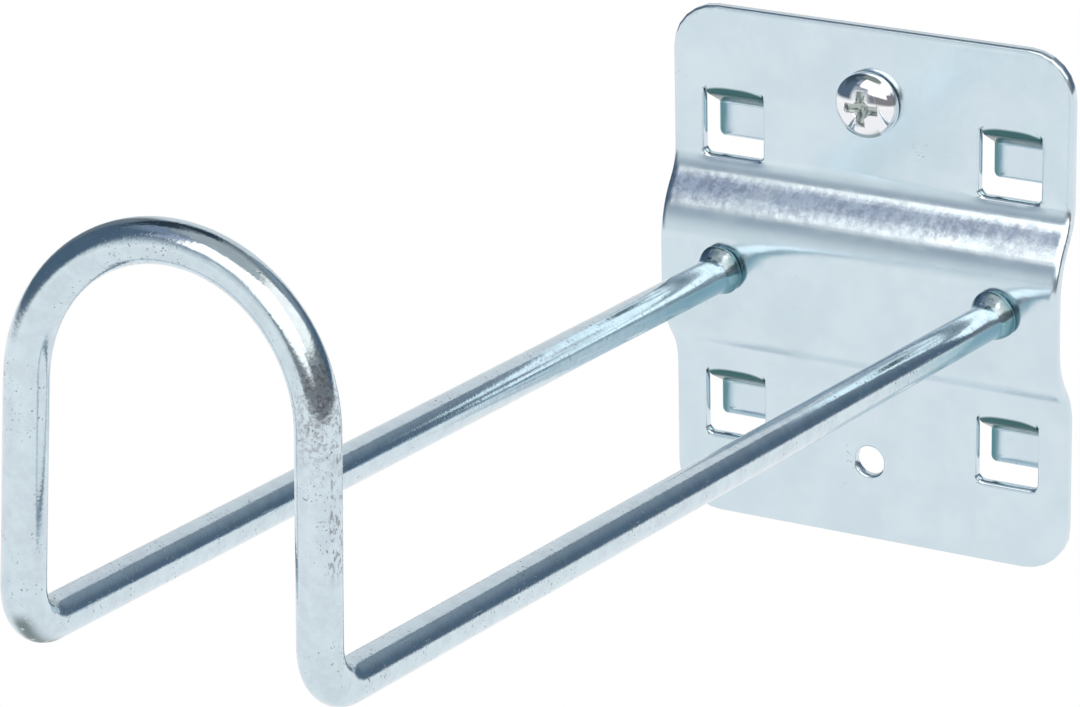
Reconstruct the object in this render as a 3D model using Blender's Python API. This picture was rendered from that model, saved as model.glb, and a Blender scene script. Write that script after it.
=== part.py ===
# Cable holder for a perforated tool panel: a pressed steel plate with four lanced hooks,
# a bent wire bracket welded to its raised middle, and one fixing screw.
# Metres, +Z up. The back of the plate lies on the panel in the plane Y = 0 and the
# arms run towards -Y. The origin is on that back face, between screw and step.
import math

import bmesh
import bpy
from mathutils import Matrix, Vector

MM = 0.001

# Sheet plate
sheet_thickness = 1.5 * MM
plate_height = 68.4 * MM
plate_drop = 0.45 * MM
edge_beside_window = 4.1 * MM
corner_radius = 6.0 * MM
edge_round = 0.3 * MM
face_above_centre = 18.0 * MM

# Raised middle zone and the two steps that carry it
raise_depth = 4.25 * MM
step_radius = 5.0 * MM
step_angle = math.radians(37.0)
step_centre = 9.2 * MM

# Hooks on the square grid of the panel
grid_pitch = 38.0 * MM
window_width = 8.4 * MM
window_bottom_below_grid = 5.0 * MM
window_height = 9.25 * MM
window_corner = 0.9 * MM
hook_side_slit = 0.25 * MM
hook_end_slit = 0.3 * MM
hook_corner = 0.8 * MM
panel_space = 2.5 * MM
hook_bend_radius = 1.2 * MM
hook_bend_angle = math.radians(60.0)
hook_drop = 8.0 * MM
plate_width = grid_pitch + window_width + 2 * edge_beside_window

# Wire bracket
wire_diameter = 4.7 * MM
arm_spacing = 37.7 * MM
front_spacing = 35.0 * MM
arm_height = 0.0 * MM
arm_length = 158.2 * MM
arm_tilt = math.radians(5.2)
front_bend_radius = 5.1 * MM
leg_height = 26.6 * MM
arch_radius = 16.9 * MM
weld_gap = 0.3 * MM
weld_length = 2.4 * MM
weld_widest = 0.6 * MM
weld_radius = 3.6 * MM
weld_rise = 0.4 * MM
weld_toe_share = 0.25

# Fixing screw and the empty screw hole
screw_below_top = 9.8 * MM
shank_diameter = 4.0 * MM
shank_length = 10.0 * MM
shank_chamfer = 0.6 * MM
shank_clearance = 0.3 * MM
head_diameter = 8.4 * MM
head_height = 2.7 * MM
head_rim = 0.7 * MM
head_seat_gap = 0.3 * MM
recess_span = 4.4 * MM
recess_slot = 1.0 * MM
recess_depth = 1.5 * MM
recess_floor_share = 0.45
spare_hole_above_bottom = 10.6 * MM
spare_hole_diameter = 4.0 * MM
screw_height = plate_height / 2 - plate_drop - screw_below_top
spare_hole_height = spare_hole_above_bottom - plate_height / 2 - plate_drop

# Facets
corner_steps = 6
step_arc_steps = 7
hook_arc_steps = 5
round_sides = 32
bend_steps = 9
arch_steps = 20
weld_steps = 9
dome_steps = 6
guard_line = 0.25 * MM
join_distance = 0.0001 * MM


def clear_scene():
    for thing in list(bpy.data.objects):
        bpy.data.objects.remove(thing, do_unlink=True)


def metal(name, colour, roughness):
    material = bpy.data.materials.new(name)
    material.use_nodes = True
    shader = material.node_tree.nodes["Principled BSDF"]
    shader.inputs["Base Color"].default_value = (*colour, 1.0)
    shader.inputs["Roughness"].default_value = roughness
    shader.inputs["Metallic"].default_value = 1.0
    return material


def add_object(name, bm, material, sharp_angle):
    bmesh.ops.recalc_face_normals(bm, faces=bm.faces)
    mesh = bpy.data.meshes.new(name)
    bm.to_mesh(mesh)
    bm.free()
    mesh.materials.append(material)
    mesh.shade_smooth()
    mesh.set_sharp_from_angle(angle=sharp_angle)
    thing = bpy.data.objects.new(name, mesh)
    bpy.context.collection.objects.link(thing)
    return thing


def follow(sections, distance):
    """Walk along a folded strip and return how far along, how far out, and the slope."""
    along = out = slope = 0.0
    for length, turn in sections:
        part = min(distance, length)
        if turn:
            radius = length / turn
            new_slope = slope + part / radius
            along += radius * (math.sin(new_slope) - math.sin(slope))
            out += radius * (math.cos(slope) - math.cos(new_slope))
            slope = new_slope
        else:
            along += part * math.cos(slope)
            out += part * math.sin(slope)
        distance -= part
        if distance <= 0:
            return along, out, slope
    return along + distance * math.cos(slope), out + distance * math.sin(slope), slope


def double_bend(offset, radius, angle):
    """Sections of an S-shaped fold that moves a sheet sideways by the offset."""
    straight = (offset - 2 * radius * (1 - math.cos(angle))) / math.sin(angle)
    return [(radius * angle, angle), (straight, 0.0), (radius * angle, -angle)]


def total_length(sections):
    return sum(length for length, turn in sections)


def fold_lines(sections, arc_steps):
    """Distances at which the strip needs a line across it, with a guard line at each end."""
    lines = []
    start = 0.0
    for length, turn in sections:
        steps = arc_steps if turn else 1
        lines += [start + length * k / steps for k in range(steps)]
        start += length
    return [-guard_line] + lines + [start, start + guard_line]


def rounded_corner(centre, radius, first_angle, steps):
    points = []
    for k in range(steps + 1):
        angle = first_angle + math.pi / 2 * k / steps
        points.append(centre + radius * Vector((math.cos(angle), math.sin(angle))))
    return points


def rounded_rectangle(half_width, half_height, radius):
    points = []
    quadrants = ((1, 1), (-1, 1), (-1, -1), (1, -1))
    for number, (side, end) in enumerate(quadrants):
        centre = Vector((side * (half_width - radius), end * (half_height - radius)))
        points += rounded_corner(centre, radius, number * math.pi / 2, corner_steps)
    return points


def circle(centre, radius):
    turn = 2 * math.pi / round_sides
    return [centre + radius * Vector((math.cos(k * turn), math.sin(k * turn)))
            for k in range(round_sides)]


def slit_round_hook(centre_x, bottom, top):
    """U-shaped slit that frees a hook inside its window and leaves it joined at the top."""
    half = window_width / 2
    hook_half = half - hook_side_slit
    hook_end = bottom + hook_end_slit
    points = [Vector((half, top)), Vector((hook_half, top))]
    inner = rounded_corner(Vector((hook_half - hook_corner, hook_end + hook_corner)),
                           hook_corner, -math.pi / 2, corner_steps)
    points += reversed(inner)
    points += [Vector((-p.x, p.y)) for p in inner]
    points += [Vector((-hook_half, top)), Vector((-half, top))]
    outer = rounded_corner(Vector((half - window_corner, bottom + window_corner)),
                           window_corner, -math.pi / 2, corner_steps)
    points += [Vector((-p.x, p.y)) for p in reversed(outer)]
    points += outer
    return [p + Vector((centre_x, 0.0)) for p in points]


def moved_outline(points, distance):
    """The outline moved square to itself, to its right-hand side as it is walked."""
    moved = []
    for before, point, after in zip(points[-1:] + points[:-1], points, points[1:] + points[:1]):
        first = (point - before).normalized()
        second = (after - point).normalized()
        normal = Vector((first.y + second.y, -first.x - second.x))
        moved.append(point + normal * distance / (1 + first.dot(second)))
    return moved


def signed_area(points):
    pairs = zip(points, points[1:] + points[:1])
    return sum(a.x * b.y - b.x * a.y for a, b in pairs) / 2


def pierced_blank(outer, holes):
    """Flat sheet blank with rounded arrises, its front at Y = -thickness and its back at 0."""
    bm = bmesh.new()
    half_round = edge_round * (1 - math.sqrt(0.5))
    sections = [(0.0, edge_round), (half_round, half_round), (edge_round, 0.0)]
    sections += [(sheet_thickness - depth, inset) for depth, inset in reversed(sections)]
    front_edges = []
    back_edges = []
    for outline in [outer] + holes:
        # Every inset eats into the sheet: the outer edge shrinks and a hole grows.
        towards_sheet = 1 if (signed_area(outline) < 0) == (outline is outer) else -1
        rings = []
        for depth, inset in sections:
            points = moved_outline(outline, towards_sheet * inset)
            rings.append([bm.verts.new((p.x, depth - sheet_thickness, p.y)) for p in points])
        for ring, following in zip(rings, rings[1:]):
            for k in range(len(ring)):
                bm.faces.new((ring[k - 1], ring[k], following[k], following[k - 1]))
        for ring, edges in ((rings[0], front_edges), (rings[-1], back_edges)):
            edges += [bm.edges.get((ring[k - 1], ring[k])) for k in range(len(ring))]
    for edges in (front_edges, back_edges):
        bmesh.ops.triangle_fill(bm, edges=edges, use_beauty=True)
    return bm


def cut_across(bm, height, faces):
    """Add a line across the given faces at one height and return the faces with their halves."""
    geometry = list({v for f in faces for v in f.verts}) + list({e for f in faces for e in f.edges})
    result = bmesh.ops.bisect_plane(bm, geom=geometry + list(faces), dist=join_distance,
                                    plane_co=(0, 0, height), plane_no=(0, 0, 1))
    return [item for item in result["geom"] if isinstance(item, bmesh.types.BMFace)]


def make_base_plate():
    step = double_bend(raise_depth, step_radius, step_angle)
    step_run = follow(step, total_length(step))[0]
    step_growth = total_length(step) - step_run
    step_start = step_centre - step_run / 2

    def blank_height(height):
        return height + math.copysign(step_growth, height)

    hook = double_bend(panel_space + sheet_thickness, hook_bend_radius, hook_bend_angle)
    hook_run = follow(hook, total_length(hook))[0]
    formed_hook = total_length(hook) + hook_drop - hook_run
    blank_hook = window_height - hook_end_slit
    stretch = formed_hook / blank_hook

    outline = rounded_rectangle(plate_width / 2, plate_height / 2 + step_growth, corner_radius)
    outer = [p - Vector((0.0, plate_drop)) for p in outline]
    windows = []
    for side in (-1, 1):
        for level in (-1, 1):
            bottom = level * grid_pitch / 2 - window_bottom_below_grid
            windows.append((side * grid_pitch / 2, bottom))
    holes = []
    for centre_x, bottom in windows:
        blank_bottom = blank_height(bottom)
        holes.append(slit_round_hook(centre_x, blank_bottom, blank_bottom + window_height))
    screw_hole = shank_diameter / 2 + shank_clearance
    holes.append(circle(Vector((0.0, blank_height(screw_height))), screw_hole))
    holes.append(circle(Vector((0.0, blank_height(spare_hole_height))), spare_hole_diameter / 2))
    bm = pierced_blank(outer, holes)

    for distance in fold_lines(step, step_arc_steps):
        for side in (-1, 1):
            cut_across(bm, side * (step_start + distance), list(bm.faces))
    roots = [blank_height(bottom) + window_height for centre_x, bottom in windows]
    for root in sorted(set(roots)):
        cut_across(bm, root, list(bm.faces))
        cut_across(bm, root + guard_line, list(bm.faces))

    folded = set()
    for (centre_x, bottom), root in zip(windows, roots):
        reach = window_width / 2 - hook_side_slit / 2
        low = root - window_height + hook_end_slit / 2
        faces = [f for f in bm.faces if all(
            abs(v.co.x - centre_x) < reach and low < v.co.z < root + hook_end_slit / 2
            for v in f.verts) and min(v.co.z for v in f.verts) < root - hook_end_slit / 2]
        for distance in fold_lines(hook, hook_arc_steps)[2:]:
            faces = cut_across(bm, root - distance / stretch, faces)
        hook_verts = {v for f in faces for v in f.verts if v.co.z < root - guard_line / 2}
        for v in hook_verts:
            along, out, slope = follow(hook, (root - v.co.z) * stretch)
            depth = v.co.y + sheet_thickness / 2
            v.co.z = bottom + window_height - along + depth * math.sin(slope)
            v.co.y = out - sheet_thickness / 2 + depth * math.cos(slope)
        folded |= hook_verts

    path = [(step_start, 0.0)] + step
    for v in bm.verts:
        if v in folded:
            continue
        along, out, slope = follow(path, abs(v.co.z))
        depth = v.co.y + sheet_thickness / 2
        v.co.z = math.copysign(along - depth * math.sin(slope), v.co.z)
        v.co.y = out - raise_depth - sheet_thickness / 2 + depth * math.cos(slope)

    colour = metal("zinc_sheet", (0.60, 0.68, 0.74), 0.32)
    return add_object("base_plate", bm, colour, math.radians(50.0))


def wire_path(arm_direction, up_direction, start):
    """Points on the left half of the wire's centre line, from the arm to the arch top."""
    corner = start + arm_direction * arm_length
    arch_centre = corner + up_direction * leg_height
    arch_centre.x = 0.0
    sideways = Vector((1.0, 0.0, 0.0))
    # The leg leans in to meet an arch a little narrower than the arms.
    lean = math.atan((front_spacing / 2 - arch_radius) / leg_height)
    leg = (up_direction * math.cos(lean) + sideways * math.sin(lean)).normalized()
    points = []
    bend_centre = corner - arm_direction * front_bend_radius + leg * front_bend_radius
    for k in range(bend_steps + 1):
        angle = math.pi / 2 * k / bend_steps
        points.append(bend_centre + front_bend_radius * (
            arm_direction * math.sin(angle) - leg * math.cos(angle)))
    for k in range(arch_steps + 1):
        angle = math.pi - lean - (math.pi / 2 - lean) * k / arch_steps
        points.append(arch_centre + arch_radius / math.cos(lean) * (
            sideways * math.cos(angle) + up_direction * math.sin(angle)))
    return points


def ring_across(centre, tangent, sideways, radius):
    """Circle of points square to the wire, counted from the side that faces +X at the arm."""
    across = (sideways - tangent * sideways.dot(tangent)).normalized()
    upward = tangent.cross(across)
    turn = 2 * math.pi / round_sides
    return [centre + radius * (across * math.cos(k * turn) + upward * math.sin(k * turn))
            for k in range(round_sides)], across


def weld_section(distance):
    """Radius and rise of the upset metal at a distance from the plate."""
    if distance < weld_widest:
        swell = 1 - weld_toe_share * (1 - distance / weld_widest) ** 2
    else:
        past = (distance - weld_widest) / (weld_length - weld_widest)
        swell = (1 + math.cos(math.pi * past)) / 2
    wire_radius = wire_diameter / 2
    return wire_radius + (weld_radius - wire_radius) * swell, weld_rise * swell


def make_wire_bracket():
    # The arms run slightly together towards the front.
    narrowing = (arm_spacing - front_spacing) / 2 / arm_length
    arm = Vector((narrowing, -math.cos(arm_tilt), math.sin(arm_tilt))).normalized()
    upward = Vector((0.0, math.sin(arm_tilt), math.cos(arm_tilt)))
    front = -(sheet_thickness + raise_depth + weld_gap)
    start = Vector((-arm_spacing / 2, front, arm_height))
    turn = 2 * math.pi / round_sides
    rings = []
    for k in range(weld_steps + 1):
        distance = weld_length * k / weld_steps
        radius, rise = weld_section(distance)
        centre = start - arm * distance / arm.y + upward * rise
        rings.append([Vector((centre.x + radius * math.cos(i * turn), start.y - distance,
                              centre.z + radius * math.sin(i * turn)))
                      for i in range(round_sides)])
    points = wire_path(arm, upward, start)
    sideways = Vector((1.0, 0.0, 0.0))
    for before, point, after in zip([start] + points, points, points[1:]):
        tangent = ((point - before).normalized() + (after - point).normalized()).normalized()
        ring, sideways = ring_across(point, tangent, sideways, wire_diameter / 2)
        rings.append(ring)
    ring, sideways = ring_across(points[-1], Vector((1.0, 0.0, 0.0)), sideways,
                                 wire_diameter / 2)
    rings.append(ring)
    mirrored = [[Vector((-p.x, p.y, p.z)) for p in ring] for ring in reversed(rings[:-1])]

    bm = bmesh.new()
    loops = [[bm.verts.new(p) for p in ring] for ring in rings + mirrored]
    for loop, following in zip(loops, loops[1:]):
        for k in range(round_sides):
            bm.faces.new((loop[k - 1], loop[k], following[k], following[k - 1]))
    bm.faces.new(loops[0])
    bm.faces.new(loops[-1])
    colour = metal("zinc_wire", (0.62, 0.72, 0.78), 0.22)
    return add_object("wire_bracket", bm, colour, math.radians(50.0))


def turned_solid(profile, steps):
    """Closed solid of a (radius, Y) profile turned about the Y axis."""
    bm = bmesh.new()
    verts = [bm.verts.new((radius, y, 0.0)) for radius, y in profile]
    edges = [bm.edges.new(pair) for pair in zip(verts, verts[1:])]
    bmesh.ops.spin(bm, geom=verts + edges, axis=(0, 1, 0), cent=(0, 0, 0),
                   angle=2 * math.pi, steps=steps, use_merge=True)
    bmesh.ops.remove_doubles(bm, verts=bm.verts, dist=join_distance)
    bmesh.ops.recalc_face_normals(bm, faces=bm.faces)
    return bm


def cross_cutter(top):
    """Tapered cross that sinks the driver recess into the head."""
    bm = bmesh.new()
    growth_share = (1 - recess_floor_share) / recess_depth
    loops = []
    for y, share in ((top - head_rim, 1 + head_rim * growth_share),
                     (top + recess_depth, recess_floor_share)):
        reach = Vector((recess_span / 2 * share, 0.0))
        half_slot = recess_slot / 2 * (1 + share) / 2
        arm = (reach - Vector((0.0, half_slot)), reach + Vector((0.0, half_slot)),
               Vector((half_slot, half_slot)))
        points = [Matrix.Rotation(math.pi / 2 * quarter, 2) @ p for quarter in range(4) for p in arm]
        loops.append([bm.verts.new((p.x, y, p.y)) for p in points])
    for k in range(len(loops[0])):
        bm.faces.new((loops[0][k - 1], loops[0][k], loops[1][k], loops[1][k - 1]))
    for loop in loops:
        bm.faces.new(loop)
    bmesh.ops.recalc_face_normals(bm, faces=bm.faces)
    return bm


def make_fixing_screw():
    under_head = -(sheet_thickness + head_seat_gap)
    top = under_head - head_height
    rim_y = under_head - head_rim
    dome = head_height - head_rim
    head_radius = head_diameter / 2
    shank_radius = shank_diameter / 2
    shank_end = under_head + shank_length
    profile = [(0.0, top)]
    for k in range(1, dome_steps + 1):
        angle = math.pi / 2 * k / dome_steps
        profile.append((head_radius * math.sin(angle), rim_y - dome * math.cos(angle)))
    profile += [(head_radius, under_head), (shank_radius, under_head),
                (shank_radius, shank_end - shank_chamfer),
                (shank_radius - shank_chamfer, shank_end), (0.0, shank_end)]
    colour = metal("bright_zinc", (0.78, 0.80, 0.82), 0.12)
    screw = add_object("fixing_screw", turned_solid(profile, round_sides), colour,
                       math.radians(40.0))
    cutter = add_object("recess_cutter", cross_cutter(top), colour, math.radians(40.0))
    cutter.display_type = "WIRE"
    cutter.hide_render = True
    recess = screw.modifiers.new("recess", "BOOLEAN")
    recess.operation = "DIFFERENCE"
    recess.solver = "EXACT"
    recess.object = cutter
    for thing in (screw, cutter):
        thing.location.z = screw_height
    return screw, cutter


clear_scene()
pieces = [make_base_plate(), make_wire_bracket(), *make_fixing_screw()]
for piece in pieces:
    piece.location.z -= face_above_centre
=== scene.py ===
"""Wire cable holder of zinc-plated steel in a plain pale studio."""

import math

import bmesh
import bpy
from mathutils import Matrix, Vector, noise
from mathutils.bvhtree import BVHTree


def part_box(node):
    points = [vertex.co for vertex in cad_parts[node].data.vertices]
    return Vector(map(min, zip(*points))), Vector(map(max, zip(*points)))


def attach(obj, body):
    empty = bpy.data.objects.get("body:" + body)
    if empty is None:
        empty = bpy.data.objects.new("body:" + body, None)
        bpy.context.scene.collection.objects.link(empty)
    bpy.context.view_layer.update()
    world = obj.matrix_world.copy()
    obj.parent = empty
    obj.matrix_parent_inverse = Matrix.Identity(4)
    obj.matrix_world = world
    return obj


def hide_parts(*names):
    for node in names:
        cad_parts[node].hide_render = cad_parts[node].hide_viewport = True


MM = 0.001

# Camera: angles in degrees, place in metres.
camera_azimuth = 29.184
camera_elevation = 21.171
camera_roll = -1.305
camera_place = (0.26487, -0.56089, 0.21286)
focal_pixels = 5252.5
photo_width = 1080
sensor_width = 36.0

# Wire, as long and as bent as the solid that it stands for.
wire_radius = 2.35 * MM
arm_spacing = 37.7 * MM
front_spacing = 35.0 * MM
arm_height = -18.0 * MM
arm_length = 158.2 * MM
arm_tilt = math.radians(5.2)
arm_start = -6.05 * MM
bend_radius = 5.1 * MM
leg_height = 26.6 * MM
arch_radius = 16.9 * MM
wire_sides = 48
arm_rings = 60
bend_rings = 14
leg_rings = 14
arch_rings = 28

# Upset weld metal round each end of the wire.
weld_length = 2.7 * MM
weld_widest = 0.5 * MM
weld_skin = 0.1 * MM
weld_crown = 1.3 * MM
weld_cheek = 0.9 * MM
weld_toe_share = 0.25
weld_rings = 16
weld_lump = 0.14 * MM
weld_lump_size = 1.2 * MM

# Plate: its windows, hooks and faces.
sheet_thickness = 1.5 * MM
window_pitch = 38.0 * MM
window_half = 4.2 * MM
window_bottom = -5.0 * MM
window_top = 4.25 * MM
plate_middle = -18.0 * MM
window_levels = (1.0 * MM, -37.0 * MM)
plate_grid = 1.0 * MM
step_start = 14.75 * MM
step_angle = math.radians(37.0)
step_grid = 0.5 * MM
step_rows = 25
raise_depth = 4.25 * MM
inner_bend = 6.5 * MM
outer_bend = 12.0 * MM
roll_depth = 0.16 * MM
roll_width = 0.55 * MM
roll_reach = 1.5 * MM
edge_round = 0.3 * MM
corner_rise = 0.9 * MM
corner_run = 0.55 * MM
slit_lift = 0.35 * MM
near = 0.02 * MM
merge_gap = 0.001 * MM
corner_rows = (0.08 * MM, 0.2 * MM, 0.4 * MM, 0.65 * MM)
lip_rows = (0.45 * MM, 0.65 * MM, 0.9 * MM)

# Screw: its head, driver recess and threaded shank.
screw_height = 5.95 * MM
head_radius = 4.2 * MM
head_top = -4.5 * MM
head_rim_y = -2.5 * MM
head_seat = -1.8 * MM
recess_reach = 2.15 * MM
recess_half_slot = 0.5 * MM
recess_depth = 1.45 * MM
recess_wall = 0.22 * MM
shank_radius = 2.0 * MM
shank_end = 8.2 * MM
recess_end_slope = 0.6
recess_taper = 0.45
recess_middle_radii = (0.5 * MM, 1.3 * MM)
recess_middle_share = 0.85
dome_ring_gap = 0.07 * MM
dome_rings = 36
shoulder_rings = 14
head_edge = 0.12 * MM
shank_chamfer = 0.5 * MM
thread_pitch = 0.7 * MM
thread_depth = 0.42 * MM
screw_sides = 128
shank_sides = 48
thread_rings_per_turn = 8

# Colours of the zinc: passivated blue, with green and violet casts, stains and wear, and painted
# shade and reflections.
sheet_blue = (0.665, 0.770, 0.835)
sheet_green = (0.610, 0.760, 0.790)
sheet_violet = (0.695, 0.750, 0.840)
sheet_mottle = (0.30, 0.34, 0.43)
sheet_cloud = (0.60, 0.715, 0.775)
sheet_pit = (0.25, 0.29, 0.32)
hook_flank_shadow = (0.13, 0.31, 0.33)
hook_root_shade = (0.02, 0.13, 0.14)
wire_blue = (0.640, 0.750, 0.810)
wire_green = (0.600, 0.745, 0.775)
wire_violet = (0.665, 0.725, 0.810)
wire_cloud = (0.56, 0.64, 0.71)
wire_worn = (0.15, 0.20, 0.20)
wire_pit = (0.14, 0.15, 0.15)
wire_fleck = (0.17, 0.17, 0.18)
wire_shoulder_reflection = (0.16, 0.16, 0.17)
wire_reflected_teal = (0.19, 0.41, 0.49)
weld_heat_and_shade = (0.10, 0.22, 0.25)
screw_bright = (0.86, 0.87, 0.90)
recess_dark = (0.42, 0.47, 0.45)

# How rough each metal is where it is cleanest, and how high its skin stands.
sheet_rough = 0.16
wire_rough = 0.12
screw_rough = 0.05
sheet_relief = 0.016 * MM
wire_relief = 0.014 * MM
screw_relief = 0.006 * MM

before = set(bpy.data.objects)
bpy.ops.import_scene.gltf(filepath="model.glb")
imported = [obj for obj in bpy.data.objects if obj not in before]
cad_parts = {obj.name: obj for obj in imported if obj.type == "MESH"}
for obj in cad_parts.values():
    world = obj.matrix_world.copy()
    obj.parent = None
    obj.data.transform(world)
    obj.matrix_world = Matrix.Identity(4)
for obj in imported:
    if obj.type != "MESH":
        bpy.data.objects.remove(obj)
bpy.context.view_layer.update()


def new_node(tree, kind, **settings):
    made = tree.nodes.new(kind)
    for name, value in settings.items():
        setattr(made, name, value)
    return made


def feed(tree, socket, value):
    """Link a socket, or set a plain value, on an input."""
    if isinstance(value, bpy.types.NodeSocket):
        tree.links.new(value, socket)
    elif value is not None:
        socket.default_value = value


def calculate(tree, operation, *values):
    made = new_node(tree, "ShaderNodeMath", operation=operation)
    for socket, value in zip(made.inputs, values):
        feed(tree, socket, value)
    return made.outputs[0]


def ramp_between(tree, value, low, high, out_low=0.0, out_high=1.0):
    """Smooth step of a value between two limits."""
    made = new_node(tree, "ShaderNodeMapRange", interpolation_type="SMOOTHSTEP")
    for name, given in (("Value", value), ("From Min", low), ("From Max", high),
                        ("To Min", out_low), ("To Max", out_high)):
        feed(tree, made.inputs[name], given)
    return made.outputs["Result"]


def band(tree, value, low, high, soft):
    """One between two limits and zero outside them, with soft ends."""
    rise = ramp_between(tree, value, low - soft, low + soft)
    fall = ramp_between(tree, value, high - soft, high + soft, 1.0, 0.0)
    return calculate(tree, "MULTIPLY", rise, fall)


def product(tree, *factors):
    result = factors[0]
    for factor in factors[1:]:
        result = calculate(tree, "MULTIPLY", result, factor)
    return result


def mix_colour(tree, factor, first, second):
    made = new_node(tree, "ShaderNodeMix", data_type="RGBA")
    feed(tree, made.inputs["Factor"], factor)
    for socket, value in ((made.inputs[6], first), (made.inputs[7], second)):
        feed(tree, socket, value if isinstance(value, bpy.types.NodeSocket) else (*value, 1.0))
    return made.outputs[2]


def stain(tree, colour, mask, strength, stained):
    """The colour, turned towards a stained one where the mask says so."""
    return mix_colour(tree, product(tree, mask, strength), colour, stained)


def split_axes(tree, vector):
    apart = new_node(tree, "ShaderNodeSeparateXYZ")
    feed(tree, apart.inputs[0], vector)
    return apart.outputs


def noise_of(tree, vector, size, detail=2.0, roughness=0.5, stretch=(1.0, 1.0, 1.0)):
    """Noise whose lumps are about the given size, in the units of the vector."""
    scaled = new_node(tree, "ShaderNodeVectorMath", operation="MULTIPLY")
    feed(tree, scaled.inputs[0], vector)
    scaled.inputs[1].default_value = [share / size for share in stretch]
    made = new_node(tree, "ShaderNodeTexNoise")
    feed(tree, made.inputs["Vector"], scaled.outputs[0])
    made.inputs["Scale"].default_value = 1.0
    made.inputs["Detail"].default_value = detail
    made.inputs["Roughness"].default_value = roughness
    return made.outputs["Fac"]


def effect_group(name, numbers, results):
    """Node group with a Place vector, named number inputs and named results."""
    tree = bpy.data.node_groups.new(name, "ShaderNodeTree")
    tree.interface.new_socket("Place", in_out="INPUT", socket_type="NodeSocketVector")
    for label, value in numbers.items():
        tree.interface.new_socket(label, in_out="INPUT",
                                  socket_type="NodeSocketFloat").default_value = value
    for label, kind in results.items():
        tree.interface.new_socket(label, in_out="OUTPUT", socket_type=kind)
    return tree, new_node(tree, "NodeGroupInput"), new_node(tree, "NodeGroupOutput")


def make_grain_group():
    """Fine lumps of the zinc skin: a height, and a mask of where it is duller."""
    tree, given, result = effect_group(
        "zinc_grain", {"Fine": 0.5, "Coarse": 1.0},
        {"Height": "NodeSocketFloat", "Dull": "NodeSocketFloat"})
    place = given.outputs["Place"]
    fine = calculate(tree, "MULTIPLY", noise_of(tree, place, 0.4 * MM, 1.0),
                     given.outputs["Fine"])
    coarse = calculate(tree, "MULTIPLY", noise_of(tree, place, 2.0 * MM, 1.0),
                       given.outputs["Coarse"])
    feed(tree, result.inputs["Height"], calculate(tree, "ADD", fine, coarse))
    patches = noise_of(tree, place, 7.0 * MM, 3.0, 0.6)
    feed(tree, result.inputs["Dull"], ramp_between(tree, patches, 0.4, 0.7))
    return tree


def make_scratch_group():
    """Thin scratches along the first axis, broken into short strokes."""
    tree, given, result = effect_group(
        "scratches", {"Amount": 0.5}, {"Mask": "NodeSocketFloat"})
    place = given.outputs["Place"]
    lines = noise_of(tree, place, 0.16 * MM, 1.0, 0.5, (0.03, 1.0, 1.0))
    strokes = noise_of(tree, place, 4.0 * MM, 2.0, 0.5, (0.6, 1.6, 1.6))
    mask = product(tree, ramp_between(tree, lines, 0.66, 0.74),
                   ramp_between(tree, strokes, 0.5, 0.62), given.outputs["Amount"])
    feed(tree, result.inputs["Mask"], mask)
    return tree


def make_pit_group():
    """Small dark pits and flecks, in loose clusters."""
    tree, given, result = effect_group(
        "pits", {"Amount": 0.5, "Spread": 0.5}, {"Mask": "NodeSocketFloat"})
    place = given.outputs["Place"]
    specks = noise_of(tree, place, 0.34 * MM, 1.0, 0.5)
    clusters = noise_of(tree, place, 5.0 * MM, 2.0, 0.5)
    level = calculate(tree, "SUBTRACT", 0.66, calculate(
        tree, "MULTIPLY", given.outputs["Spread"], 0.2))
    near = ramp_between(tree, clusters, level, calculate(tree, "ADD", level, 0.1))
    mask = product(tree, ramp_between(tree, specks, 0.66, 0.72), near, given.outputs["Amount"])
    feed(tree, result.inputs["Mask"], mask)
    return tree


def make_tint_group():
    """Faint green and violet clouds of the passivated zinc."""
    tree, given, result = effect_group(
        "passivation_tint", {"Amount": 1.0},
        {"Green": "NodeSocketFloat", "Violet": "NodeSocketFloat"})
    place = given.outputs["Place"]
    clouds = noise_of(tree, place, 14.0 * MM, 3.0, 0.55)
    for label, low, high in (("Green", 0.52, 0.75), ("Violet", 0.48, 0.27)):
        mask = ramp_between(tree, clouds, low, high)
        feed(tree, result.inputs[label], product(tree, mask, given.outputs["Amount"]))
    return tree


def place_group(tree, group, place, **numbers):
    made = new_node(tree, "ShaderNodeGroup", node_tree=group)
    feed(tree, made.inputs["Place"], place)
    for label, value in numbers.items():
        made.inputs[label].default_value = value
    return made


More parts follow.
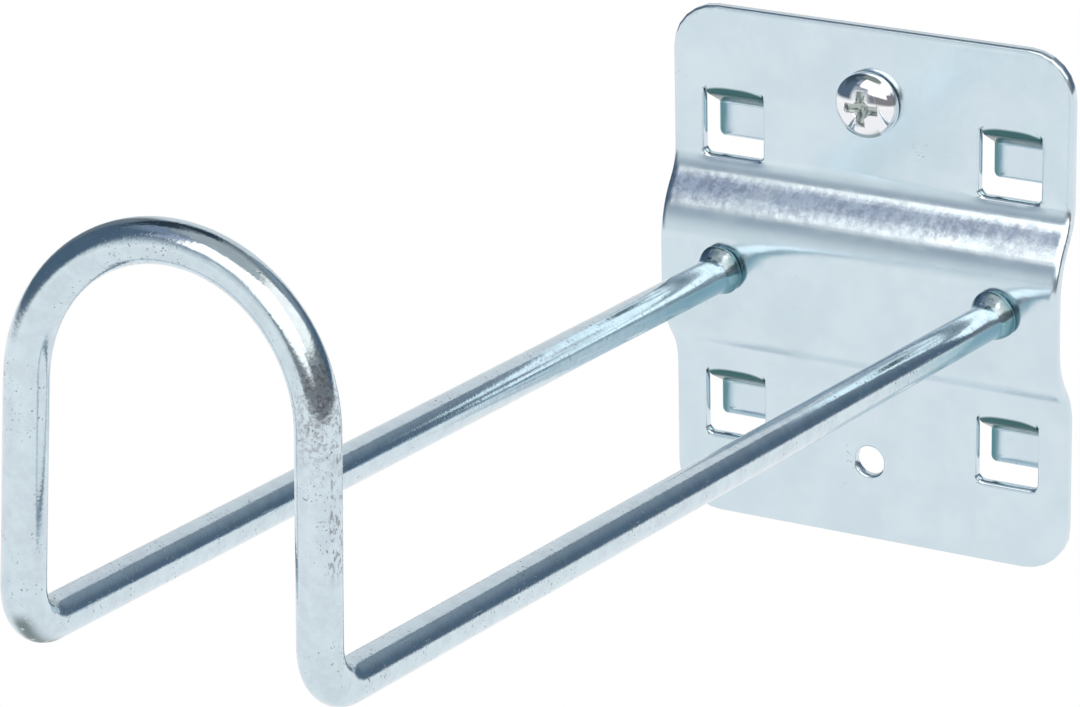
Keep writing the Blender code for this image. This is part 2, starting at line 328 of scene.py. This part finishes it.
# Studio: what the bright metal mirrors all round it.
def make_surround():
    world = bpy.data.worlds.new("studio")
    bpy.context.scene.world = world
    world.use_nodes = True
    tree = world.node_tree
    tree.nodes.clear()
    place = new_node(tree, "ShaderNodeTexCoord")
    x, y, z = split_axes(tree, place.outputs["Generated"])
    elevation = calculate(tree, "MULTIPLY", calculate(tree, "ARCSINE", z), math.degrees(1))
    front = calculate(tree, "MULTIPLY", y, -1.0)
    azimuth = calculate(tree, "MULTIPLY", calculate(tree, "ARCTAN2", x, front), math.degrees(1))

    def window(left, right, low, high, soft, soft_sides=None):
        sides = soft_sides or soft
        return product(tree, band(tree, azimuth, left, right, sides),
                       band(tree, elevation, low, high, soft))

    colour = mix_colour(tree, ramp_between(tree, elevation, 45.0, 75.0),
                        (0.20, 0.23, 0.26), (0.50, 0.53, 0.54))
    # The room behind the object is darkest near the ground.
    behind = mix_colour(tree, ramp_between(tree, elevation, 8.0, 38.0),
                        (0.11, 0.16, 0.22), (0.30, 0.36, 0.42))
    low_left = mix_colour(tree, ramp_between(tree, elevation, 0.0, 21.0),
                          (0.86, 0.89, 0.90), (0.36, 0.41, 0.48))
    # Each window's left, right, low and high edge in degrees, and how soft they are.
    for mask, tint in (
            (window(-115.0, -40.0, -20.0, 46.0, 6.0), (0.10, 0.15, 0.21)),
            (window(-115.0, -28.0, 46.0, 62.0, 4.0), (0.23, 0.29, 0.39)),
            (window(-8.0, 128.0, -20.0, 20.0, 4.0, 12.0), (0.24, 0.24, 0.25)),
            (window(128.0, 178.0, -20.0, 46.0, 5.0), behind),
            (window(-182.0, -140.0, -20.0, 38.0, 6.0), (0.80, 0.82, 0.84)),
            (window(-168.0, -95.0, 40.0, 67.0, 4.0), (0.03, 0.05, 0.07)),
            (window(-42.0, -10.0, -30.0, 24.0, 3.0, 5.0), low_left),
            (window(-44.0, -26.0, 30.0, 54.0, 3.0), (0.40, 0.44, 0.56)),
            (window(-29.3, 64.0, 25.0, 62.0, 3.0, 1.8), (2.0, 1.9, 1.8)),
            (window(-8.0, 48.0, 12.0, 30.0, 3.0, 6.0), (1.8, 1.75, 1.7)),
            (window(64.0, 132.0, 26.0, 66.0, 5.0), (1.4, 1.33, 1.26))):
        colour = mix_colour(tree, mask, colour, tint)
    colour = mix_colour(tree, ramp_between(tree, elevation, -9.0, -2.0, 1.0, 0.0),
                        colour, (1.05, 1.04, 1.03))
    path = new_node(tree, "ShaderNodeLightPath")
    colour = mix_colour(tree, path.outputs["Is Camera Ray"], colour, (1.0, 1.0, 1.0))
    light = new_node(tree, "ShaderNodeBackground")
    tree.links.new(colour, light.inputs["Color"])
    result = new_node(tree, "ShaderNodeOutputWorld")
    tree.links.new(light.outputs[0], result.inputs[0])


def make_floor():
    bm = bmesh.new()
    bmesh.ops.create_grid(bm, x_segments=1, y_segments=1, size=3.0,
                          matrix=Matrix.Translation((0.0, 0.0, -0.8)))
    mesh = bpy.data.meshes.new("pale_floor")
    bm.to_mesh(mesh)
    bm.free()
    material = bpy.data.materials.new("pale_floor")
    material.use_nodes = True
    tree = material.node_tree
    tree.nodes.clear()
    matt = new_node(tree, "ShaderNodeBsdfDiffuse")
    matt.inputs["Color"].default_value = (0.9, 0.9, 0.9, 1.0)
    glow = new_node(tree, "ShaderNodeEmission")
    path = new_node(tree, "ShaderNodeLightPath")
    seen = calculate(tree, "MAXIMUM", path.outputs["Is Camera Ray"], path.outputs["Is Glossy Ray"])
    seen = calculate(tree, "MAXIMUM", seen, path.outputs["Is Transmission Ray"])
    mix = new_node(tree, "ShaderNodeMixShader")
    tree.links.new(seen, mix.inputs[0])
    tree.links.new(matt.outputs[0], mix.inputs[1])
    tree.links.new(glow.outputs[0], mix.inputs[2])
    result = new_node(tree, "ShaderNodeOutputMaterial")
    tree.links.new(mix.outputs[0], result.inputs[0])
    mesh.materials.append(material)
    floor = bpy.data.objects.new("pale_floor", mesh)
    bpy.context.scene.collection.objects.link(floor)


def make_camera():
    azimuth, elevation, roll = (math.radians(a) for a in (
        camera_azimuth, camera_elevation, camera_roll))
    level = Vector((math.cos(azimuth), math.sin(azimuth), 0.0))
    back = Vector((math.sin(azimuth) * math.cos(elevation),
                   -math.cos(azimuth) * math.cos(elevation), math.sin(elevation)))
    above = back.cross(level)
    right = level * math.cos(roll) + above * math.sin(roll)
    up = above * math.cos(roll) - level * math.sin(roll)
    data = bpy.data.cameras.new("camera")
    data.sensor_width = sensor_width
    data.lens = focal_pixels * sensor_width / photo_width
    data.clip_start = 0.05
    data.clip_end = 20.0
    camera = bpy.data.objects.new("camera", data)
    turn = Matrix((right, up, back)).transposed().to_4x4()
    camera.matrix_world = Matrix.Translation(camera_place) @ turn
    bpy.context.scene.collection.objects.link(camera)
    bpy.context.scene.camera = camera


def start_metal(name, roughness):
    """Metal with its shader and the place of the surface, ready for colour and bump."""
    material = bpy.data.materials.new(name)
    material.use_nodes = True
    tree = material.node_tree
    shader = tree.nodes["Principled BSDF"]
    shader.inputs["Metallic"].default_value = 1.0
    shader.inputs["Roughness"].default_value = roughness
    place = new_node(tree, "ShaderNodeTexCoord").outputs["Object"]
    return material, tree, shader, place


def add_bump(tree, shader, height, distance):
    made = new_node(tree, "ShaderNodeBump")
    made.inputs["Strength"].default_value = 1.0
    made.inputs["Distance"].default_value = distance
    feed(tree, made.inputs["Height"], height)
    feed(tree, shader.inputs["Normal"], made.outputs["Normal"])


def sheet_metal(groups):
    material, tree, shader, place = start_metal("zinc_sheet", 0.24)
    x, y, z = split_axes(tree, place)
    grain = place_group(tree, groups["grain"], place, Fine=0.12, Coarse=1.0)
    tint = place_group(tree, groups["tint"], place, Amount=0.35)
    scratch = place_group(tree, groups["scratch"], place, Amount=0.25)
    pits = place_group(tree, groups["pit"], place, Amount=0.5, Spread=0.1)
    colour = mix_colour(tree, tint.outputs["Green"], sheet_blue, sheet_green)
    colour = mix_colour(tree, tint.outputs["Violet"], colour, sheet_violet)
    # The press has stretched the two steps, and left the upper one's skin mottled.
    middle = calculate(tree, "SUBTRACT", z, plate_middle)
    stretched = band(tree, calculate(tree, "ABSOLUTE", middle), 8.2 * MM, 11.8 * MM, 0.6 * MM)
    mottle = product(tree, stretched, ramp_between(tree, middle, 0.0, MM), ramp_between(
        tree, noise_of(tree, place, 1.2 * MM, 4.0, 0.7), 0.40, 0.62))
    colour = stain(tree, colour, mottle, 0.6, sheet_mottle)
    clouds = ramp_between(tree, noise_of(tree, place, 6.0 * MM, 4.0, 0.6), 0.35, 0.65)
    colour = stain(tree, colour, clouds, 0.5, sheet_cloud)
    # Painted shade: the tight bend at each hook's root is painted darker, with a green cast, and
    # less metallic; a painted shadow falls on the hook's inner flank.
    across = calculate(tree, "SUBTRACT", x, calculate(
        tree, "MULTIPLY", calculate(tree, "SIGN", x), window_pitch / 2))
    up = calculate(tree, "SUBTRACT", middle, calculate(
        tree, "MULTIPLY", calculate(tree, "SIGN", middle), window_pitch / 2))
    bow = calculate(tree, "POWER", calculate(
        tree, "ABSOLUTE", calculate(tree, "DIVIDE", across, 4.0 * MM)), 3.0)
    top = calculate(tree, "ADD", up, product(tree, bow, 0.6 * MM))
    bent = product(tree, ramp_between(tree, y, 1.6 * MM, 2.4 * MM, 1.0, 0.0),
                   band(tree, across, -4.05 * MM, 4.05 * MM, 0.1 * MM),
                   ramp_between(tree, up, window_top - 3.6 * MM, window_top - 3.2 * MM),
                   ramp_between(tree, top, window_top - 0.4 * MM, window_top, 1.0, 0.0))
    # Painted shadow on the hook's inner flank, cast by the window's left edge, with the dark gap
    # reflected in it.
    flank = product(tree, ramp_between(tree, y, 1.6 * MM, 2.4 * MM),
                    ramp_between(tree, across, -3.5 * MM, -2.5 * MM, 1.0, 0.0))
    colour = stain(tree, colour, flank, 0.9, hook_flank_shadow)
    # Painted shade over the root bend, up to an arch below each window's top.
    colour = mix_colour(tree, bent, colour, hook_root_shade)
    # The painted shade is made less metallic as well, so it stays dark.
    feed(tree, shader.inputs["Metallic"], calculate(
        tree, "SUBTRACT", 1.0, product(tree, bent, 0.85)))
    colour = mix_colour(tree, pits.outputs["Mask"], colour, sheet_pit)
    feed(tree, shader.inputs["Base Color"], colour)
    rough = calculate(tree, "ADD", sheet_rough, product(tree, grain.outputs["Dull"], 0.08))
    rough = calculate(tree, "ADD", rough, product(tree, scratch.outputs["Mask"], 0.2))
    feed(tree, shader.inputs["Roughness"], rough)
    height = calculate(tree, "SUBTRACT", grain.outputs["Height"],
                       product(tree, scratch.outputs["Mask"], 0.3))
    height = calculate(tree, "SUBTRACT", height, pits.outputs["Mask"])
    skin = noise_of(tree, place, 1.0 * MM, 2.0, 0.5)
    height = calculate(tree, "ADD", height, product(tree, stretched, skin, 0.3))
    add_bump(tree, shader, height, sheet_relief)
    return material


def wire_metal(groups):
    material, tree, shader, place = start_metal("zinc_wire", 0.14)
    straight = new_node(tree, "ShaderNodeAttribute", attribute_name="straight").outputs["Vector"]
    grain = place_group(tree, groups["grain"], place, Fine=0.8, Coarse=0.8)
    tint = place_group(tree, groups["tint"], place, Amount=0.4)
    scratch = place_group(tree, groups["scratch"], straight, Amount=0.8)
    pits = place_group(tree, groups["pit"], place, Amount=0.7, Spread=0.9)
    colour = mix_colour(tree, tint.outputs["Green"], wire_blue, wire_green)
    colour = mix_colour(tree, tint.outputs["Violet"], colour, wire_violet)
    clouds = ramp_between(tree, noise_of(tree, place, 1.8 * MM, 4.0, 0.65), 0.38, 0.64)
    colour = stain(tree, colour, clouds, 0.6, wire_cloud)
    x, y, z = split_axes(tree, place)
    # Rubbed patch under the bend of the left leg.
    worn = product(tree, band(tree, x, -17.6 * MM, -16.0 * MM, 0.6 * MM),
                   ramp_between(tree, y, -158.0 * MM, -160.0 * MM),
                   ramp_between(tree, z, -0.4 * MM, -2.4 * MM),
                   ramp_between(tree, noise_of(tree, place, 0.8 * MM, 3.0, 0.6), 0.24, 0.46))
    colour = stain(tree, colour, worn, 0.85, wire_worn)
    colour = mix_colour(tree, pits.outputs["Mask"], colour, wire_pit)
    # Rubbed flecks along the outer side of the right leg.
    flecks = product(tree, ramp_between(tree, x, 18.95 * MM, 19.15 * MM),
                     ramp_between(tree, y, -156.0 * MM, -158.0 * MM),
                     band(tree, z, 9.5 * MM, 23.0 * MM, 1.5 * MM),
                     ramp_between(tree, noise_of(tree, place, 0.5 * MM, 3.0, 0.6,
                                                 (1.0, 1.0, 0.6)), 0.50, 0.62))
    colour = stain(tree, colour, flecks, 0.65, wire_fleck)
    # The arch's right shoulder gets a painted dark reflection, broken up by noise.
    shoulder = product(tree, ramp_between(tree, x, 14.5 * MM, 17.5 * MM),
                       band(tree, z, 21.0 * MM, 32.0 * MM, 3.0 * MM),
                       ramp_between(tree, noise_of(tree, place, 0.5 * MM, 3.0, 0.65), 0.46, 0.60))
    colour = stain(tree, colour, shoulder, 0.5, wire_shoulder_reflection)
    # Painted reflection: the wire's lower side near the plate is painted teal, as the plate
    # mirrored in it.
    # Heat has left the weld metal dark green.
    under = ramp_between(tree, split_axes(tree, straight)[2], 1.1 * MM, 0.2 * MM)
    plate_reflection = product(tree, ramp_between(tree, y, -48.0 * MM, -12.0 * MM), under)
    colour = stain(tree, colour, plate_reflection, 0.85, wire_reflected_teal)
    # Painted shade: each weld's right side is darkened further, with the same dark green as the
    # heat tint.
    cheek = ramp_between(tree, calculate(tree, "SUBTRACT", x, calculate(
        tree, "MULTIPLY", calculate(tree, "SIGN", x), arm_spacing / 2)), 1.4 * MM, 2.6 * MM)
    heat_and_shade_noise = calculate(tree, "ADD", noise_of(tree, place, 1.1 * MM, 3.0, 0.6),
                      product(tree, cheek, 0.3))
    # Dark green over the weld: heat tint, with painted shade on its right side.
    heat_and_shade = product(tree, ramp_between(tree, y, -8.8 * MM, -6.8 * MM),
                   ramp_between(tree, heat_and_shade_noise, 0.36, 0.56))
    colour = stain(tree, colour, heat_and_shade, 0.8, weld_heat_and_shade)
    feed(tree, shader.inputs["Base Color"], colour)
    rough = calculate(tree, "ADD", wire_rough, product(tree, grain.outputs["Dull"], 0.06))
    rough = calculate(tree, "ADD", rough, product(tree, worn, 0.25))
    feed(tree, shader.inputs["Roughness"], rough)
    drawn = noise_of(tree, straight, 0.5 * MM, 2.0, 0.5, (0.04, 1.0, 1.0))
    height = calculate(tree, "ADD", grain.outputs["Height"], product(tree, drawn, 0.2))
    height = calculate(tree, "SUBTRACT", height, product(tree, scratch.outputs["Mask"], 0.5))
    height = calculate(tree, "SUBTRACT", height, product(tree, pits.outputs["Mask"], 1.5))
    add_bump(tree, shader, height, wire_relief)
    return material


def screw_metal(groups):
    material, tree, shader, place = start_metal("bright_zinc", 0.05)
    grain = place_group(tree, groups["grain"], place, Fine=0.3, Coarse=1.0)
    scratch = place_group(tree, groups["scratch"], place, Amount=0.6)
    x, y = split_axes(tree, place)[:2]
    # Darker colour deep in the driver recess.
    sunk = ramp_between(tree, y, -3.9 * MM, -3.3 * MM)
    inside = product(tree, sunk, band(tree, x, -2.3 * MM, 2.3 * MM, 0.1 * MM),
                     ramp_between(tree, y, -2.8 * MM, -2.9 * MM))
    colour = mix_colour(tree, inside, screw_bright, recess_dark)
    feed(tree, shader.inputs["Base Color"], colour)
    rough = calculate(tree, "ADD", screw_rough, product(tree, grain.outputs["Dull"], 0.05))
    feed(tree, shader.inputs["Roughness"], rough)
    height = calculate(tree, "SUBTRACT", grain.outputs["Height"], scratch.outputs["Mask"])
    add_bump(tree, shader, height, screw_relief)
    return material


def finish_piece(name, bm, material, node, sharp):
    mesh = bpy.data.meshes.new(name)
    bm.to_mesh(mesh)
    bm.free()
    mesh.materials.append(material)
    mesh.shade_smooth()
    mesh.set_sharp_from_angle(angle=math.radians(sharp))
    thing = bpy.data.objects.new(name, mesh)
    bpy.context.scene.collection.objects.link(thing)
    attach(thing, "root")
    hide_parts(node)
    return thing


def smooth_step(value, low, high):
    share = min(1.0, max(0.0, (value - low) / (high - low)))
    return share * share * (3 - 2 * share)


def step_rise(below, inner, outer):
    """How far the sheet has come forward at a height below the start of a step."""
    steep = math.tan(step_angle)
    straight = (raise_depth - (inner + outer) * (1 - math.cos(step_angle))) / steep
    first = inner * math.sin(step_angle)
    last = first + straight
    run = last + outer * math.sin(step_angle)
    if below <= 0:
        return 0.0
    if below < first:
        return inner - math.sqrt(inner ** 2 - below ** 2)
    if below < last:
        return inner * (1 - math.cos(step_angle)) + (below - first) * steep
    left = max(0.0, run - below)
    return raise_depth - outer + math.sqrt(outer ** 2 - left ** 2)


def soften_steps(bm):
    """Bring both steps onto their easy bends, the back face with the front."""
    solid = BVHTree.FromBMesh(bm)
    rows = {}
    for v in bm.verts:
        below = step_start - abs(v.co.z - plate_middle)
        if below <= -0.6 * MM:
            continue
        height = round(v.co.z, 6)
        if height not in rows:
            front = solid.ray_cast(Vector((0.1 * MM, -1.0, v.co.z)), Vector((0, 1, 0)))[0].y
            back = solid.ray_cast(Vector((0.1 * MM, 1.0, v.co.z)), Vector((0, -1, 0)))[0].y
            new_front = -sheet_thickness - step_rise(below, inner_bend, outer_bend)
            new_back = -step_rise(below, inner_bend + sheet_thickness,
                                  outer_bend - sheet_thickness)
            rows[height] = (front, back, new_front - front, new_back - back)
        front, back, front_move, back_move = rows[height]
        share = min(1.0, max(0.0, (v.co.y - front) / (back - front)))
        v.co.y += front_move * (1 - share) + back_move * share


def cut_row(bm, place, normal):
    bmesh.ops.bisect_plane(bm, geom=bm.verts[:] + bm.edges[:] + bm.faces[:],
                           dist=merge_gap, plane_co=place, plane_no=normal)


def roll_lip(v, across, outside):
    """The punch has rolled in the face along the lower edge of each window."""
    if v.co.y < -0.9 * MM and -0.05 * MM < outside < roll_reach:
        roll = roll_depth * math.exp(-(max(outside, 0.0) / roll_width) ** 2)
        v.co.y += roll * smooth_step(abs(across), window_half + MM, window_half - MM)


def close_slit(v, across, up, level):
    """The slit beside each hook ends in a round corner, where the bend begins."""
    wide = abs(across) - window_half
    share = (up - window_top + corner_rise) / (corner_rise - slit_lift)
    lowest_wide = -near if up < window_top + near else -corner_run - near
    if not (lowest_wide < wide < edge_round + near and share > 0
            and up < window_top + edge_round + near):
        return
    if share > 0.99:
        inward = wide + corner_run
        v.co.z = level + window_top
        if v.co.y < -sheet_thickness + edge_round + near:
            v.co.y = -sheet_thickness
    else:
        inward = corner_run * (1 - math.sqrt(1 - share ** 2))
    v.co.x -= math.copysign(inward, across)


def make_plate(material):
    """The plate with finer faces, and with steps, windows and slits as the press left them."""
    bm = bmesh.new()
    bm.from_mesh(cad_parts["base_plate"].data)
    bmesh.ops.remove_doubles(bm, verts=bm.verts, dist=merge_gap)
    bmesh.ops.dissolve_limit(bm, angle_limit=math.radians(0.5), verts=bm.verts[:],
                             edges=bm.edges[:], delimit=set())
    lowest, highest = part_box("base_plate")
    for axis in (0, 2):
        normal = Vector([1.0 if axis == k else 0.0 for k in range(3)])
        count = int((highest[axis] - lowest[axis]) / plate_grid)
        for k in range(1, count):
            place = lowest[axis] + (highest[axis] - lowest[axis]) * k / count
            cut_row(bm, normal * place, normal)
    rows = [plate_middle + side * (step_start - step_grid * (k + 0.5))
            for k in range(step_rows) for side in (-1, 1)]
    rows += [level + window_top - row for level in window_levels for row in corner_rows]
    rows += [level + window_bottom - row for level in window_levels for row in lip_rows]
    for place in rows:
        cut_row(bm, (0, 0, place), (0, 0, 1))
    soften_steps(bm)
    for v in bm.verts:
        level = min(window_levels, key=lambda height: abs(v.co.z - height))
        across = v.co.x - math.copysign(window_pitch / 2, v.co.x)
        up = v.co.z - level
        roll_lip(v, across, window_bottom - up)
        close_slit(v, across, up, level)
    bmesh.ops.remove_doubles(bm, verts=bm.verts, dist=merge_gap)
    bmesh.ops.dissolve_degenerate(bm, dist=merge_gap, edges=bm.edges[:])
    return finish_piece("plate", bm, material, "base_plate", 50.0)


def next_ring(bm, edges, turn):
    """Extrude an open ring of edges and move the new ring by a matrix."""
    grown = bmesh.ops.extrude_edge_only(bm, edges=edges)["geom"]
    verts = [item for item in grown if isinstance(item, bmesh.types.BMVert)]
    bmesh.ops.transform(bm, matrix=turn, verts=verts)
    return verts, [item for item in grown if isinstance(item, bmesh.types.BMEdge)
                   and item.verts[0] in verts and item.verts[1] in verts]


def turn_about(centre, angle, axis):
    return Matrix.Translation(centre) @ Matrix.Rotation(angle, 4, axis) @ \
        Matrix.Translation(-centre)


def weld_swell(distance):
    """How much of the weld's bulge stands at a distance from the wire's end."""
    if distance < weld_widest:
        return 1 - weld_toe_share * (1 - distance / weld_widest) ** 2
    past = min(1.0, (distance - weld_widest) / (weld_length - weld_widest))
    return (1 + math.cos(math.pi * past)) / 2


def make_wire(material):
    """Half the wire is drawn from the plate to the arch's top, and mirrored."""
    narrowing = (arm_spacing - front_spacing) / 2 / arm_length
    arm = Vector((narrowing, -math.cos(arm_tilt), math.sin(arm_tilt))).normalized()
    upward = Vector((0.0, math.sin(arm_tilt), math.cos(arm_tilt)))
    sideways = Vector((1.0, 0.0, 0.0))
    start = Vector((-arm_spacing / 2, arm_start, arm_height))
    corner = start + arm * arm_length
    lean = math.atan((front_spacing / 2 - arch_radius) / leg_height)
    leg = (upward * math.cos(lean) + sideways * math.sin(lean)).normalized()
    bend_centre = corner - arm * bend_radius + leg * bend_radius
    bend_start = arm_length - bend_radius
    arch_centre = corner + upward * leg_height
    arch_centre.x = 0.0

    bm = bmesh.new()
    along = bm.verts.layers.float_vector.new("straight")
    square = Matrix((sideways, arm.cross(sideways).normalized(), arm)).transposed().to_4x4()
    circle = bmesh.ops.create_circle(bm, cap_ends=False, radius=wire_radius,
                                     segments=wire_sides,
                                     matrix=Matrix.Translation(start) @ square)
    verts = circle["verts"]
    for v in verts:
        out = v.co - start
        v[along] = (0.0, out.x, out.dot(upward))
    edges = list({e for v in verts for e in v.link_edges})
    first_edges = edges
    travelled = 0.0

    def grow(turn, distance):
        nonlocal verts, edges, travelled
        verts, edges = next_ring(bm, edges, turn)
        travelled += distance
        for v in verts:
            v[along] = (travelled, v[along][1], v[along][2])

    steps = [weld_length / weld_rings] * weld_rings
    rest = bend_start - weld_length
    steps += [rest / arm_rings] * arm_rings
    for step in steps:
        grow(Matrix.Translation(arm * step), step)
    axis = leg.cross(arm).normalized()
    for k in range(bend_rings):
        angle = -math.pi / 2 / bend_rings
        grow(turn_about(bend_centre, angle, axis), bend_radius * -angle)
    top_of_leg = arch_centre - sideways * arch_radius + upward * arch_radius * math.tan(lean)
    centre = sum((v.co for v in verts), Vector()) / len(verts)
    rise = top_of_leg - centre
    for k in range(leg_rings):
        grow(Matrix.Translation(rise / leg_rings), rise.length / leg_rings)
    axis = upward.cross(sideways).normalized()
    for k in range(arch_rings):
        angle = (math.pi / 2 - lean) / arch_rings
        grow(turn_about(arch_centre, angle, axis), arch_radius * angle)
    for v in verts:
        v.co.x = 0.0

    bmesh.ops.holes_fill(bm, edges=first_edges)
    flipped = bmesh.ops.mirror(bm, geom=bm.verts[:] + bm.edges[:] + bm.faces[:],
                               axis="X", merge_dist=0.00001)
    for item in flipped["geom"]:
        if isinstance(item, bmesh.types.BMVert):
            item[along] = (2 * travelled - item[along][0], item[along][1], item[along][2])
    bmesh.ops.remove_doubles(bm, verts=[v for v in bm.verts if abs(v.co.x) < 0.00001],
                             dist=0.00001)
    # Swell the first rings of each arm into upset weld metal, more on top and on the right.
    for v in bm.verts:
        distance = min(v[along][0], 2 * travelled - v[along][0])
        if distance > weld_length - 0.01 * MM:
            continue
        swell = weld_swell(distance)
        middle = start + arm * distance
        middle.x = math.copysign(middle.x, v.co.x)
        out = v.co - middle
        out.y = 0.0
        out.normalize()
        bulge = weld_skin + weld_crown * max(0.0, out.z) ** 2 + weld_cheek * max(0.0, out.x) ** 2
        bulge += noise.noise(v.co / weld_lump_size) * weld_lump
        v.co = middle + out * (wire_radius + bulge * swell)
        v.co.y = start.y - distance
    bmesh.ops.recalc_face_normals(bm, faces=bm.faces)
    return finish_piece("wire", bm, material, "wire_bracket", 60.0)


def cross_depth(x, z):
    """How deep the driver recess is at a place on the head."""
    best = 0.0
    for along, across in ((abs(x), abs(z)), (abs(z), abs(x))):
        inside = min(recess_half_slot - across, (recess_reach - along) * recess_end_slope)
        taper = 1 - recess_taper * along / recess_reach
        best = max(best, smooth_step(inside, -recess_wall / 2, recess_wall / 2) * taper)
    flat, end = recess_middle_radii
    middle = smooth_step(math.hypot(x, z), end, flat)
    return recess_depth * max(best, middle * recess_middle_share)


def make_screw(material):
    """Pan head turned in fine rings, with a sunk cross, on a threaded shank."""
    bm = bmesh.new()
    dome = head_rim_y - head_top
    radii = [dome_ring_gap * k for k in range(1, dome_rings + 1)]
    angles = [math.asin(r / head_radius) for r in radii]
    last = angles[-1]
    angles += [last + (math.pi / 2 - last) * k / shoulder_rings
               for k in range(1, shoulder_rings + 1)]
    profile = [(head_radius * math.sin(a), head_rim_y - dome * math.cos(a)) for a in angles]
    profile += [(head_radius, head_seat - head_edge),
                (head_radius - head_edge * 0.3, head_seat - head_edge * 0.3),
                (head_radius - head_edge, head_seat), (shank_radius + 0.2 * MM, head_seat)]
    verts = [bm.verts.new((radius, y, 0.0)) for radius, y in profile]
    edges = [bm.edges.new(pair) for pair in zip(verts, verts[1:])]
    bmesh.ops.spin(bm, geom=verts + edges, axis=(0, 1, 0), cent=(0, 0, 0),
                   angle=2 * math.pi, steps=screw_sides, use_merge=True)
    bmesh.ops.remove_doubles(bm, verts=bm.verts, dist=0.0000005)
    rim = [e for e in bm.edges if e.is_boundary and e.verts[0].co.y < head_rim_y]
    bmesh.ops.contextual_create(bm, geom=rim)
    bmesh.ops.poke(bm, faces=[f for f in bm.faces if len(f.verts) > 4])
    for v in bm.verts:
        if v.co.y < head_rim_y - 0.3 * MM:
            v.co.y += cross_depth(v.co.x, v.co.z)

    # The shank's thread is one helix that fades out under the head and at the end.
    bmesh.ops.create_circle(bm, cap_ends=False, radius=shank_radius, segments=shank_sides,
                            matrix=Matrix.Translation((0, head_seat, 0)) @
                            Matrix.Rotation(math.pi / 2, 4, "X"))
    ring = [v for v in bm.verts if abs(math.hypot(v.co.x, v.co.z) - shank_radius) < 0.01 * MM
            and abs(v.co.y - head_seat) < 0.01 * MM and len(v.link_edges) == 2]
    edges = list({e for v in ring for e in v.link_edges})
    length = shank_end - head_seat
    count = int(length / thread_pitch * thread_rings_per_turn)
    shank = list(ring)
    for k in range(count):
        verts, edges = next_ring(bm, edges, Matrix.Translation((0, length / count, 0)))
        shank += verts
    bmesh.ops.contextual_create(bm, geom=edges)
    for v in shank:
        turn = math.atan2(v.co.z, v.co.x) / (2 * math.pi)
        phase = ((v.co.y / thread_pitch) - turn) % 1.0
        cut = thread_depth * abs(2 * phase - 1)
        fade = smooth_step(v.co.y, head_seat + 0.3 * MM, head_seat + MM)
        chamfer = shank_chamfer * smooth_step(v.co.y, shank_end - 0.7 * MM, shank_end)
        radius = shank_radius - max(cut * fade, chamfer)
        scale = radius / math.hypot(v.co.x, v.co.z)
        v.co.x *= scale
        v.co.z *= scale
    bmesh.ops.recalc_face_normals(bm, faces=bm.faces)
    bmesh.ops.translate(bm, verts=bm.verts, vec=(0, 0, screw_height))
    return finish_piece("screw", bm, material, "fixing_screw", 35.0)


bpy.context.scene.view_settings.view_transform = "Standard"
make_surround()
make_floor()
make_camera()
effects = {"grain": make_grain_group(), "scratch": make_scratch_group(),
           "pit": make_pit_group(), "tint": make_tint_group()}
make_plate(sheet_metal(effects))
make_wire(wire_metal(effects))
make_screw(screw_metal(effects))
